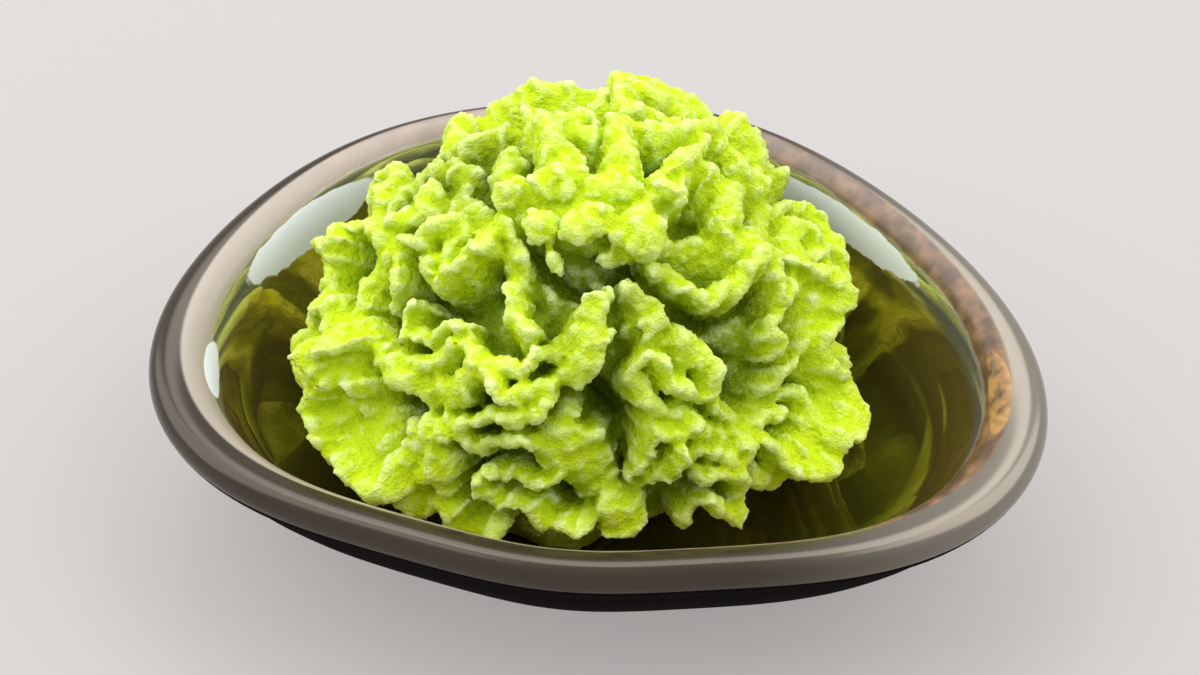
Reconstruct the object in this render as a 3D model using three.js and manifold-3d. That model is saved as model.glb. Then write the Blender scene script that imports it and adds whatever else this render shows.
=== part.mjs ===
// A small glazed sauce dish with a piped rosette of wasabi paste resting in it.
// Millimetres, +Z up. The origin is under the middle of the dish, on the plane that its foot stands on.

import * as THREE from 'three';
import { mergeVertices } from 'three/addons/utils/BufferGeometryUtils.js';
import Module from 'manifold-3d';

const wasm = await Module();
wasm.setup();

// ---------- Driving dimensions of the dish ----------

// From above, the rim is a rounded egg: a circle with six slow swells. Each swell has the number of
// times it comes round, how far it stands out, and the direction in degrees that it faces.
const rim = {
  meanRadius: 39,
  sides: 64,
  swells: [
    { count: 1, size: 2.1, facing: -90 },
    { count: 2, size: 5.4, facing: -10 },
    { count: 3, size: 2.2, facing: -35 },
    { count: 4, size: 0.45, facing: -17 },
    { count: 5, size: 0.75, facing: -22 },
    { count: 6, size: 0.3, facing: 22 },
  ],
};

// The wall, as [share of the rim's radius, height], from the middle of the underside outwards,
// up over the lip and back down to the middle of the well.
const foot = [[0, 1], [0.4, 1], [0.42, 0], [0.5, 0], [0.53, 1.2]];
const outerWall = [[0.66, 3.4], [0.8, 7], [0.9, 12], [0.955, 16]];
const lip = [[0.985, 17.2], [1, 18.8], [0.994, 20.2], [0.975, 20.9], [0.95, 21], [0.925, 20.8]];
const innerWall = [[0.9, 20.4], [0.88, 19.9], [0.865, 19.2], [0.852, 17.9], [0.835, 15], [0.81, 11.9],
  [0.76, 9.2], [0.68, 7.1], [0.55, 5.5], [0.35, 4.6], [0, 4.3]];

// ---------- Driving dimensions of the paste ----------

// The rosette is piped over a dome whose pole leans to the front and a little to the right.
// core is the share of the dome that is solid paste, and droop is how far a fold hangs below its root.
const dome = {
  middle: new THREE.Vector3(-2.1, 1.2, 9.5),
  wide: 28,
  deep: 27.5,
  up: 30.8,
  down: 13,
  power: 2.05,
  leanFront: 21.5,
  leanRight: 6,
  core: 0.78,
  coreAtPole: 0.82,
  root: 0.66,
  rootAtPole: 0.8,
  droop: 0.12,
};

// A fin is a thin wall of paste that stands out from the middle of the mound. Each fin that faces the
// front has the route of its crest, in mm to the right of and above the target, as it is seen by
// someone who looks down on the dish from the front.
const looker = { elevation: 46, distance: 300, target: new THREE.Vector3(0.5, 4.9, 12) };

// reach is the share of the dome's height that a crest comes up to. The first stretch of a fin, its
// calm one, is thicker by its shoulder. calm, thickness and taper are in mm, and facet is in points
// of the path.
const usualFront = { reach: 1, calm: 0, shoulder: 1.1, taper: 1.6, thickness: 1.7, facet: 6 };
const frontFins = [
  {
    reach: 0.99, calm: 8.5, shoulder: 1.5,
    route: [[1, 5.5], [-1, 2], [-2.5, -3.5], [-4.5, -2], [-9, -3], [-12, -2.5], [-12.5, -4], [-10.5, -5.5],
      [-6.5, -5.5], [-5.5, -7], [-9.5, -8.5], [-13.5, -9], [-14.5, -10.5], [-12.5, -12], [-8.5, -11.5],
      [-5, -12], [-4, -14], [-6.5, -15.5], [-10.5, -14.5], [-13.5, -16], [-12.5, -18.5], [-8.5, -18],
      [-5, -20], [-0.5, -20]],
  },
  {
    reach: 0.985, calm: 10,
    route: [[3, 6], [5, 3], [7.5, -0.5], [11, -2], [12, -4.5], [10.5, -5.5], [8.5, -5], [6.5, -2.5],
      [5, -4], [6, -7.5], [8.5, -8.5], [11, -8], [9.5, -10], [6.5, -10.5], [4.5, -13], [3.5, -15.5],
      [6, -15.5], [8.5, -13.5], [9, -11.5], [11, -10], [13, -10.5], [12.5, -12], [10, -13], [10.5, -15],
      [14, -14.5], [15.5, -17], [14.5, -19.5], [12.5, -18], [10.5, -18.5], [9.5, -21.5]],
  },
  { route: [[11.5, -3.5], [13, -7], [16, -10.5], [15.5, -13], [13.5, -11.5]] },
  { route: [[-2.5, -7], [-3.5, -10.5], [-2, -14], [-0.5, -17.5]], reach: 0.95, calm: 20, thickness: 2.9 },
  { route: [[2.5, -16], [1.5, -18.5], [2, -22.5]], reach: 0.97, calm: 20, thickness: 2.2 },
  {
    route: [[5, 8], [8, 6.5], [10.5, 5], [14.5, 6], [17, 9], [18.5, 7], [20, 4], [21, 5.5], [22, 8],
      [23.5, 6], [23, 3], [21.5, -1.5], [18, -6.5]],
  },
  {
    route: [[19.5, -6], [22, -7], [23.5, -9], [22, -11.5], [19.5, -12], [17.5, -10], [18.5, -8],
      [21, -8.5]],
  },
  {
    reach: 1.08,
    route: [[21, 8.5], [25, 7], [26.5, 4], [25, -1.5], [27.5, -5], [27.5, -8.5], [26, -11.5], [25, -14.5],
      [22, -15], [21, -13]],
  },
  { route: [[15.5, 16.5], [13.5, 13], [14.5, 9.5], [18, 13.5], [21, 14], [24.5, 12], [24.5, 9.5], [22, 9]] },
  { route: [[21, -13], [19.5, -16], [17, -14]] },
  {
    route: [[-23.5, 2.5], [-22, 5.5], [-21.5, 9.5], [-19.5, 10], [-17, 12], [-15.5, 11], [-16.5, 9],
      [-19, 8], [-18, 6], [-15, 7.5], [-13, 10.5], [-11.5, 13], [-10, 10.5], [-9.5, 5],
      [-8.5, 1.5], [-8, -1]],
  },
  { route: [[-18, 17.5], [-19, 14.5], [-22, 12.5], [-23, 9], [-25, 5], [-27, 1]] },
  { route: [[-23, 0], [-23, -3], [-21, -5], [-17, -5], [-14, -3.5], [-13, -0.5]], thickness: 2.4 },
  {
    route: [[-24, -7.5], [-26.5, -6.5], [-28.5, -9.5], [-28, -12], [-26.5, -13], [-25, -11.5],
      [-25.5, -9.5]],
  },
  { route: [[-23, -7.5], [-23.5, -11], [-21, -13], [-18, -11.5], [-15, -8]] },
  {
    reach: 1.12,
    route: [[-27, -1], [-30.5, -1.5], [-33.5, -2], [-30.5, -3.5], [-32, -6], [-31.5, -9.5], [-29.5, -12.5],
      [-27, -14.5], [-24.5, -16.5], [-22.5, -13.5]],
  },
  { route: [[-21, -13], [-22, -17], [-20, -19.5], [-17.5, -17], [-17, -15], [-15, -13]], reach: 0.97 },
  { route: [[-18, -18], [-15.5, -20.5], [-12.5, -22], [-10.5, -20]], reach: 0.97 },
  { route: [[-27, -1], [-27, -4], [-26, -6.5]], reach: 1.06, thickness: 1.4 },
  { route: [[-30.5, -4], [-29, -5], [-27, -4.5]], reach: 1.06, thickness: 1.4 },
  { route: [[-31.5, -9.5], [-30, -8.5], [-28.5, -10]], reach: 1.06, thickness: 1.4 },
  { route: [[-29.5, -12.5], [-28, -11.5], [-26.5, -13]], reach: 1.06, thickness: 1.4 },
  { route: [[-21.5, -8.5], [-20, -10], [-18, -8.5]], reach: 1, thickness: 1.4 },
  { route: [[-17, -11.5], [-18.5, -14], [-20.5, -15], [-21.5, -17]], reach: 1, thickness: 1.4 },
  { route: [[24, -2.5], [25, -5.5], [23.5, -7]], reach: 1, thickness: 1.4 },
  { route: [[27, -9.5], [25, -11], [23.5, -10]], reach: 1, thickness: 1.4 },
  { route: [[23, -15], [22.5, -13.5], [21, -12.5]], reach: 1, thickness: 1.4 },
  { route: [[-19, 4], [-21, 2], [-20.5, 0], [-17.5, 0.5], [-14, 2]], reach: 1, thickness: 1.4 },
  { route: [[-25, 5], [-26.5, 2.5], [-25, 1], [-23, 0]], reach: 1, thickness: 1.4 },
];

// Behind the pole each fin runs down the dome to the well: first almost straight, and then from side
// to side in folds, as soft paste does when it meets the dish. azimuth is in degrees round the pole,
// start, calm, wave and length are in mm of crest, and swing is in radians.
const usualBack = { swing: 1.5, stray: 0.3, shoulder: 0.25, taper: 5, thickness: 2.3, length: 400, facet: 8 };
const backFins = [
  { azimuth: 46, start: 6, calm: 10, wave: 21, reach: 1, length: 16 },
  { azimuth: 64, start: 6, calm: 15, wave: 22, reach: 1.05 },
  { azimuth: 85, start: 5, calm: 13, wave: 22, reach: 1.05 },
  { azimuth: 106, start: 6, calm: 11, wave: 22, reach: 1.02 },
  { azimuth: 128, start: 5, calm: 13, wave: 22, reach: 0.95 },
  { azimuth: 152, start: 9, calm: 10, wave: 20, reach: 0.93 },
  { azimuth: 172, start: 22, calm: 2, wave: 20, reach: 1 },
  { azimuth: 190, start: 27, calm: 2, wave: 20, reach: 1 },
  { azimuth: 26, start: 20, calm: 2, wave: 20, reach: 1 },
  { azimuth: 6, start: 27, calm: 2, wave: 20, reach: 1 },
];

// The torn lumps that the nozzle leaves behind the pole, in mm from the pole: right, back and up,
// the half sizes of each lump, and its turn in degrees.
const lumps = [
  { at: [-1.0, 6.6, -1.9], half: [9.0, 5.6, 3.0], turn: 0 },
  { at: [3.6, 4.5, 1.0], half: [2.6, 2.9, 2.0], turn: 20 },
  { at: [-1.6, 4.6, 1.2], half: [3.4, 1.9, 1.5], turn: 25 },
  { at: [6.2, 8.4, 0.6], half: [2.6, 1.3, 1.2], turn: -35 },
  { at: [-6.4, 4.4, -0.2], half: [2.6, 2.0, 1.6], turn: 60 },
  { at: [0.6, 8.6, 0.4], half: [4.2, 2.2, 1.5], turn: 0 },
  { at: [-5.6, 9.0, 0.0], half: [2.8, 2.4, 1.6], turn: -20 },
  { at: [1.0, 1.6, -0.6], half: [2.6, 1.3, 1.2], turn: 10 },
  { at: [-9.6, 8.0, -1.2], half: [2.2, 2.0, 1.6], turn: 0 },
];
const lumpHeight = 0.9;      // share of the dome's height at which the lumps sit

// A fin's section, root to crest and back, as [share of its height, share of half its thickness].
const finSection = [[-0.12, 1.2], [1, 0.9], [1, -0.9], [-0.12, -1.2]];
const walk = 0.4;            // mm of crest between the points of a fin's path
const clearance = 0.3;       // mm between the paste and the glaze
const overThePaste = 60;     // mm, higher than anything in the dish
const mergeWithin = 1e-3;    // mm between two corners that are one
const seedStep = 1.7;        // radians between the wobbles of one fin and of the next

const glaze = new THREE.MeshStandardMaterial({ color: 0x3a2818, roughness: 0.12, metalness: 0.25 });
const pasteGreen = new THREE.MeshStandardMaterial({ color: 0xbadb2c, roughness: 0.5, metalness: 0 });

// ---------- Solids ----------

function solid(geometry) {
  const bare = geometry.clone();
  bare.deleteAttribute('normal');
  bare.deleteAttribute('uv');
  const merged = mergeVertices(bare, mergeWithin);
  return new wasm.Manifold(new wasm.Mesh({
    numProp: 3,
    vertProperties: new Float32Array(merged.attributes.position.array),
    triVerts: new Uint32Array(merged.index.array),
  }));
}

// The one body that is left once loose scraps are dropped and sealed hollows are filled. A hollow that
// touches the outside in one corner only comes loose when it is the largest body's turn to be cleaned.
function oneBody(joined) {
  const bodies = solid(geometryOf(joined)).decompose();
  const largest = bodies.reduce((best, body) => (body.volume() > best.volume() ? body : best));
  return bodies.length > 1 ? oneBody(largest) : largest;
}

function geometryOf(piece) {
  const mesh = piece.getMesh();
  const geometry = new THREE.BufferGeometry();
  geometry.setAttribute('position', new THREE.BufferAttribute(new Float32Array(mesh.vertProperties), 3));
  geometry.setIndex(new THREE.BufferAttribute(new Uint32Array(mesh.triVerts), 1));
  geometry.computeVertexNormals();
  return geometry;
}

// ---------- The dish ----------

function rimRadius(angle) {
  const swells = rim.swells.map(({ count, size, facing }) =>
    size * Math.cos(count * (angle - THREE.MathUtils.degToRad(facing))));
  return rim.meanRadius + swells.reduce((sum, swell) => sum + swell, 0);
}

// A turned solid whose every level keeps the outline of the rim, drawn in by a distance in mm.
function turnedToRim(section, drawnIn = 0) {
  const points = section.map(([share, height]) => new THREE.Vector2(share, height));
  const geometry = new THREE.LatheGeometry(points, rim.sides);
  geometry.rotateX(Math.PI / 2);
  const places = geometry.attributes.position;
  for (let i = 0; i < places.count; i += 1) {
    const share = Math.hypot(places.getX(i), places.getY(i));
    const angle = Math.atan2(places.getY(i), places.getX(i));
    const radius = Math.max(share * rimRadius(angle) - drawnIn, 0);
    places.setXY(i, radius * Math.cos(angle), radius * Math.sin(angle));
  }
  return geometry;
}

function dishGeometry() {
  return turnedToRim([...foot, ...outerWall, ...lip, ...innerWall]);
}

// The room inside the dish, a little clear of the glaze, open to the air above.
function roomInDish() {
  const upTheWall = [...innerWall].reverse().map(([share, height]) => [share, height + clearance]);
  const mouth = [lip[5][0], overThePaste];
  return solid(turnedToRim([...upTheWall, mouth, [0, overThePaste]], clearance));
}

// ---------- The paste ----------

const pole = new THREE.Vector3(
  Math.tan(THREE.MathUtils.degToRad(dome.leanRight)),
  -Math.tan(THREE.MathUtils.degToRad(dome.leanFront)),
  1,
).normalize();
const east = new THREE.Vector3(1, 0, 0).addScaledVector(pole, -pole.x).normalize();
const north = new THREE.Vector3().crossVectors(pole, east);

function smooth(from, to, x) {
  return THREE.MathUtils.smoothstep(x, from, to);
}

function wobble(run, seed) {
  return 0.6 * Math.sin(run + seed) + 0.4 * Math.sin(2.3 * run + 1.7 * seed + 1);
}

function domeRadius(direction) {
  const height = direction.z > 0 ? dome.up : dome.down;
  const sum = Math.abs(direction.x / dome.wide) ** dome.power
    + Math.abs(direction.y / dome.deep) ** dome.power
    + Math.abs(direction.z / height) ** dome.power;
  return sum ** (-1 / dome.power);
}

// A point on the dome at an azimuth round the pole and an angle down from it.
function onDome(azimuth, down, share = 1, proud = 0) {
  const direction = pole.clone().multiplyScalar(Math.cos(down))
    .addScaledVector(east, Math.cos(azimuth) * Math.sin(down))
    .addScaledVector(north, Math.sin(azimuth) * Math.sin(down));
  return direction.multiplyScalar(domeRadius(direction) * share + proud).add(dome.middle);
}

function shareDown(down, share, shareAtPole) {
  return share + (shareAtPole - share) * (1 - smooth(0.15, 0.75, down));
}

// The whole piped mass has drifted slowly while it was soft, so that no two folds match.
function settled({ x, y, z }) {
  return new THREE.Vector3(
    x + 0.9 * Math.sin(0.23 * y + 0.31 * z + 0.4) + 0.45 * Math.sin(0.61 * z - 0.43 * y + 1.1),
    y + 0.9 * Math.sin(0.27 * z - 0.25 * x + 1.9) + 0.45 * Math.sin(0.57 * x + 0.49 * z + 2.7),
    z + 0.7 * Math.sin(0.29 * x + 0.21 * y + 3.1) + 0.4 * Math.sin(0.52 * y - 0.55 * x + 0.6),
  );
}

// How high a crest stands at an angle down from the pole, as a share of the dome: in three tiers.
function crestShare(fin, down) {
  const tier = 0.05 * Math.sin(2 * Math.PI * down / THREE.MathUtils.degToRad(52) - 0.6);
  return fin.reach * (0.93 + 0.07 * smooth(0.1, 0.6, down)) + tier * smooth(0.3, 0.7, down);
}

// The azimuth and angle down of a crest that is seen at a place right of and above the target. The
// sight line is halved again and again, towards where it goes in at the height of the crests.
function seenOnDome(fin, right, above) {
  const slope = THREE.MathUtils.degToRad(looker.elevation);
  const eye = new THREE.Vector3(0, -Math.cos(slope), Math.sin(slope));
  eye.multiplyScalar(looker.distance).add(looker.target);
  const aim = new THREE.Vector3(right, above * Math.sin(slope), above * Math.cos(slope)).add(looker.target);
  let [near, far] = [0.8, 1];
  let down = 0;
  let azimuth = 0;
  for (let halving = 0; halving < 24; halving += 1) {
    const halfway = (near + far) / 2;
    const place = eye.clone().lerp(aim, halfway);
    const out = place.clone().multiplyScalar(2).sub(settled(place)).sub(dome.middle);
    const direction = out.clone().normalize();
    down = Math.acos(THREE.MathUtils.clamp(direction.dot(pole), -1, 1));
    azimuth = Math.atan2(direction.dot(north), direction.dot(east));
    if (out.length() > domeRadius(direction) * crestShare(fin, down)) near = halfway;
    else far = halfway;
  }
  return { azimuth, down };
}

// The path of a fin's crest: at each point, where it is on the dome, and the crest's length so far.
function frontPath(fin) {
  const route = new THREE.SplineCurve(fin.route.map(([right, above]) => new THREE.Vector2(right, above)));
  const steps = Math.round(route.getLength() / walk);
  return route.getSpacedPoints(steps).map((point, i) => (
    { ...seenOnDome(fin, point.x, point.y), run: i * walk }));
}

function backPath(fin, seed) {
  const azimuth = THREE.MathUtils.degToRad(fin.azimuth);
  const floor = innerWall.at(-1)[1] + 1;
  const path = [];
  let down = fin.start / 30;
  let sideways = 0;
  let phase = 0;
  for (let run = 0; run < fin.length; run += walk) {
    const here = onDome(azimuth, down);
    if (here.z < floor) break;
    const mmDown = onDome(azimuth, down + 0.01).distanceTo(here) / 0.01;
    const mmAcross = onDome(azimuth + 0.01, down).distanceTo(here) / 0.01;
    if (run > fin.calm) phase += 2 * Math.PI * walk / (fin.wave * (1 + 0.12 * wobble(run * 0.11, seed + 5)));
    const swing = fin.swing * smooth(-1, 2, run - fin.calm) * (1 + 0.08 * wobble(run * 0.21, seed));
    const heading = fin.stray * wobble(run * 0.3, seed + 2) - swing * Math.sin(phase);
    sideways += Math.sin(heading) * walk;
    down += Math.cos(heading) * walk / mmDown;
    path.push({ azimuth: azimuth + sideways / Math.max(mmAcross, 3), down, run: run + walk });
  }
  return path;
}

// The ring of points round a fin at one point of its path.
function finRing(fin, seed, path, i) {
  const { azimuth, down, run } = path[i];
  const proud = 0.9 * wobble(run * 0.35, seed) + 0.35 * wobble(run * 1.5, seed + 4);
  const crest = onDome(azimuth, down, crestShare(fin, down), proud);
  const rootShare = shareDown(down, dome.root, dome.rootAtPole);
  const root = onDome(azimuth, down - dome.droop * smooth(0, 0.7, down), rootShare);
  const before = path[Math.max(i - 1, 0)];
  const after = path[Math.min(i + 1, path.length - 1)];
  const along = onDome(after.azimuth, after.down).sub(onDome(before.azimuth, before.down));
  const aside = crest.clone().sub(root).normalize().cross(along).normalize();
  const taper = Math.min(1, (run + walk) / fin.taper, (path.length - i) * walk / 1.6);
  const shoulder = 1 + fin.shoulder * smooth(1, 6, run) * (1 - smooth(fin.calm + 1, fin.calm + 7, run));
  return finSection.map(([rise, width]) => {
    const uneven = 1 + 0.25 * wobble(run * 0.8 + rise * 2, seed + 3);
    const half = fin.thickness / 2 * width * taper * shoulder * uneven;
    const bend = 0.6 * wobble(run * 0.5 + rise * 1.5, seed + 9) * Math.max(rise, 0);
    return settled(root.clone().lerp(crest, rise).addScaledVector(aside, half + bend));
  });
}

// A closed solid through a row of rings, capped at both ends.
function loft(rings) {
  const around = rings[0].length;
  const places = rings.flat().flatMap(({ x, y, z }) => [x, y, z]);
  const faces = [];
  for (let i = 0; i + 1 < rings.length; i += 1) {
    for (let j = 0; j < around; j += 1) {
      const a = i * around + j;
      const b = i * around + (j + 1) % around;
      faces.push(a, b, b + around, a, b + around, a + around);
    }
  }
  const last = (rings.length - 1) * around;
  for (let j = 1; j + 1 < around; j += 1) {
    faces.push(0, j + 1, j, last, last + j, last + j + 1);
  }
  const geometry = new THREE.BufferGeometry();
  geometry.setAttribute('position', new THREE.Float32BufferAttribute(places, 3));
  geometry.setIndex(faces);
  return geometry;
}

// A fin is made in lengths of two facets, so that none meets itself. Each runs one facet into the next.
function finPieces(fin, seed, path) {
  const stops = path.map((point, i) => i).filter((i) => i % fin.facet === 0 || i === path.length - 1);
  const rings = stops.map((i) => finRing(fin, seed, path, i));
  const lengths = rings.slice(0, Math.max(rings.length - 2, 1));
  return lengths.map((ring, n) => solid(loft(rings.slice(n, n + 3))));
}

// The solid middle of the mound, which the fins stand out of, with its skirt down in the well.
function coreSolid() {
  const geometry = new THREE.SphereGeometry(1, 22, 14);
  const places = geometry.attributes.position;
  const direction = new THREE.Vector3();
  for (let i = 0; i < places.count; i += 1) {
    direction.fromBufferAttribute(places, i).normalize();
    const down = Math.acos(THREE.MathUtils.clamp(direction.dot(pole), -1, 1));
    const share = shareDown(down, dome.core, dome.coreAtPole);
    const place = direction.clone().multiplyScalar(domeRadius(direction) * share);
    if (place.z < 0) place.z *= 1.8;
    place.add(dome.middle);
    places.setXYZ(i, place.x, place.y, place.z);
  }
  return solid(geometry);
}

function lumpSolid({ at, half, turn }) {
  const toPole = new THREE.Matrix4().makeBasis(east, north, pole);
  const place = settled(onDome(0, 0, lumpHeight));
  const geometry = new THREE.IcosahedronGeometry(1, 1);
  geometry.scale(...half);
  geometry.rotateZ(THREE.MathUtils.degToRad(turn));
  geometry.translate(...at);
  geometry.applyMatrix4(toPole);
  geometry.translate(place.x, place.y, place.z);
  return solid(geometry);
}

function pasteGeometry() {
  const inFront = frontFins.flatMap((each, number) => {
    const fin = { ...usualFront, ...each };
    return finPieces(fin, number * seedStep, frontPath(fin));
  });
  const behind = backFins.flatMap((each, number) => {
    const fin = { ...usualBack, ...each };
    const seed = (frontFins.length + number) * seedStep;
    return finPieces(fin, seed, backPath(fin, seed));
  });
  const joined = wasm.Manifold.union([coreSolid(), ...inFront, ...behind, ...lumps.map(lumpSolid)]);
  return geometryOf(oneBody(joined.intersect(roomInDish())));
}

// ---------- Assembly ----------

const dish = new THREE.Mesh(dishGeometry(), glaze);
dish.name = 'dish';

const paste = new THREE.Mesh(pasteGeometry(), pasteGreen);
paste.name = 'paste';

const served = new THREE.Group();
served.add(dish, paste);
const middle = new THREE.Box3().setFromObject(dish).getCenter(new THREE.Vector3());
served.position.set(-middle.x, -middle.y, 0);

export default served;
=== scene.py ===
import math
import random

import bmesh
import bpy
import numpy as np
from mathutils import Matrix, Vector


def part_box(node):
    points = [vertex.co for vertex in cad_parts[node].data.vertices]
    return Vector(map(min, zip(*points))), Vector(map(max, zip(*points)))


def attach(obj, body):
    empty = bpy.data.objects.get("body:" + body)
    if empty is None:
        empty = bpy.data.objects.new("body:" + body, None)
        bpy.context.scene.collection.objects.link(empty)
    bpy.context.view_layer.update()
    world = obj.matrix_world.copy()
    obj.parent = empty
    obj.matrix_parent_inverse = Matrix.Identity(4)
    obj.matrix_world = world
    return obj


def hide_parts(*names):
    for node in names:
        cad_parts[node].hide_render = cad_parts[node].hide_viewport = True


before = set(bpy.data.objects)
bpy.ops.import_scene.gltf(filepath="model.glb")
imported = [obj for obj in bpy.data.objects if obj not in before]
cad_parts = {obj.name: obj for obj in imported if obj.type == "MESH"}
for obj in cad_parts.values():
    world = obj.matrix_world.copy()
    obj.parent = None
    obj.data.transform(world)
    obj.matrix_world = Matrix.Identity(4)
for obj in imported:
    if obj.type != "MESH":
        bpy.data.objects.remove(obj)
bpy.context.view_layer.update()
scene = bpy.context.scene
mm = 0.001
sameSpot = 1e-5     # distance below which two places are one

# an unsteady line is two waves: size, pace, share of the seed, and start
wobbleWaves = [(0.6, 1, 1, 0), (0.4, 2.3, 1.7, 1)]


def wobble(run, seed):
    return sum(size * math.sin(pace * run + share * seed + start)
               for size, pace, share, start in wobbleWaves)


def smooth(low, high, x):
    # 0 before low, 1 past high, and eased in between
    t = min(max((x - low) / (high - low), 0), 1)
    return t * t * (3 - 2 * t)


def onCurve(points, i, t):
    # a place on the smooth curve through the points, t of the way from point i to the next
    last = len(points) - 1
    near = [Vector(points[min(max(j, 0), last)]) for j in range(i - 1, i + 3)]
    before, here, there, after = near
    return (here * 2 + (there - before) * t
            + (before * 2 - here * 5 + there * 4 - after) * t * t
            + (here * 3 - before - there * 3 + after) * t ** 3) / 2


def linear(hexColour):
    channels = [int(hexColour[i:i + 2], 16) / 255 for i in (1, 3, 5)]
    return (*[c / 12.92 if c <= 0.04045 else ((c + 0.055) / 1.055) ** 2.4 for c in channels], 1)


def newPiece(name, mesh):
    piece = bpy.data.objects.new(name, mesh)
    scene.collection.objects.link(piece)
    return piece


def meshOf(bm, name):
    mesh = bpy.data.meshes.new(name)
    bm.to_mesh(mesh)
    bm.free()
    return mesh


def shaded(piece):
    piece.data.polygons.foreach_set("use_smooth", [True] * len(piece.data.polygons))


def addNode(tree, kind, settings=None, inputs=None):
    # inputs are sockets to link or fixed values, by the socket's name or number
    made = tree.nodes.new("ShaderNode" + kind)
    for name, value in (settings or {}).items():
        setattr(made, name, value)
    for name, value in (inputs or {}).items():
        if isinstance(value, bpy.types.NodeSocket):
            tree.links.new(value, made.inputs[name])
        else:
            made.inputs[name].default_value = value
    return made


# settings that many nodes share
inColour = {"data_type": "RGBA"}
eased = {"interpolation_type": "SMOOTHSTEP"}


def newMaterial(name):
    material = bpy.data.materials.new(name)
    material.use_nodes = True
    material.node_tree.nodes.clear()
    return material, material.node_tree


# the rim is an egg, a circle with slow swells: times round, mm, and the degrees it faces; the wall
# is shares of the rim's radius and heights in mm, from the middle of the underside outwards, over
# the lip and down to the middle of the well
dish = {
    "meanRadius": 39,
    "swells": [(1, 2.1, -90), (2, 5.4, -10), (3, 2.2, -35), (4, 0.45, -17), (5, 0.75, -22),
               (6, 0.3, 22)],
    "foot": [(0, 1), (0.4, 1), (0.42, 0), (0.5, 0), (0.53, 1.2)],
    "outerWall": [(0.66, 3.4), (0.8, 7), (0.9, 12), (0.955, 16)],
    "lip": [(0.985, 17.2), (1, 18.8), (0.994, 20.2), (0.975, 20.9), (0.95, 21), (0.925, 20.8)],
    "innerWall": [(0.9, 20.4), (0.88, 19.7), (0.863, 18.7), (0.847, 17.2), (0.828, 14.6),
                  (0.803, 11.8), (0.757, 9.2), (0.68, 7.1), (0.55, 5.5), (0.35, 4.6), (0, 4.3)],
    "holdsFrom": 3,         # point of the inner wall, counted from 0, below which it holds paste
    "glazeStarts": 9.7,     # point of the whole wall below which the outside is bare, and painted near-black for shade
    "steps": 192,           # round the dish
    "between": 4,           # rings from one point of the wall to the next
    "outlineSides": 64,     # sides of the outline that the frame is centred on
}


def rimRadius(angle):
    return dish["meanRadius"] + sum(size * np.cos(times * (angle - math.radians(facing)))
                                    for times, size, facing in dish["swells"])


def outlineMiddle():
    angles = [2 * math.pi * i / dish["outlineSides"] for i in range(dish["outlineSides"])]
    xs = [rimRadius(angle) * math.cos(angle) for angle in angles]
    ys = [rimRadius(angle) * math.sin(angle) for angle in angles]
    return Vector(((min(xs) + max(xs)) / 2, (min(ys) + max(ys)) / 2, 0))


# how far the dish's own centre, which every piece is drawn round, lies from the frame's
dishLow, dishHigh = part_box("dish")
fromOutline = (dishLow + dishHigh) / 2 / mm
fromOutline.z = 0
fromOutline -= outlineMiddle()
toFrame = Matrix.Scale(mm, 4) @ Matrix.Translation(fromOutline)


def roundedWall():
    # places along the wall, straight at the foot and smooth above it, with the number of each
    points = dish["foot"] + dish["outerWall"] + dish["lip"] + dish["innerWall"]
    places = []
    for i in range(len(points) - 1):
        for k in range(dish["between"]):
            t = k / dish["between"]
            straight = Vector(points[i]).lerp(Vector(points[i + 1]), t)
            place = straight if i < len(dish["foot"]) - 1 else onCurve(points, i, t)
            places.append((place.x, place.y, i + t))
    places.append((*points[-1], len(points) - 1))
    return places


def makeDish():
    bm = bmesh.new()
    along = bm.verts.layers.float.new("alongWall")

    def reached(face):
        return sum(vert[along] for vert in face.verts) / len(face.verts)

    def alongThenRound(face):
        # an order for the faces that is the same each run, which the spin's own is not
        middle = face.calc_center_median()
        return reached(face) * dish["steps"] + math.atan2(middle.y, middle.x)

    wall = []
    for share, height, number in roundedWall():
        vert = bm.verts.new((share, 0, height))
        vert[along] = number
        wall.append(vert)
    edges = [bm.edges.new(pair) for pair in zip(wall, wall[1:])]
    bmesh.ops.spin(bm, geom=wall + edges, cent=(0, 0, 0), axis=(0, 0, 1), angle=2 * math.pi,
                   steps=dish["steps"], use_merge=True)
    bmesh.ops.remove_doubles(bm, verts=bm.verts, dist=sameSpot)
    bm.faces.sort(key=alongThenRound)
    for vert in bm.verts:
        radius = rimRadius(math.atan2(vert.co.y, vert.co.x))
        vert.co.x *= radius
        vert.co.y *= radius
    bmesh.ops.recalc_face_normals(bm, faces=bm.faces)
    for face in bm.faces:
        face.material_index = 1 if reached(face) < dish["glazeStarts"] else 0
    bmesh.ops.transform(bm, matrix=toFrame, verts=bm.verts)
    piece = newPiece("glazedDish", meshOf(bm, "glazedDish"))
    shaded(piece)
    return piece


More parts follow.
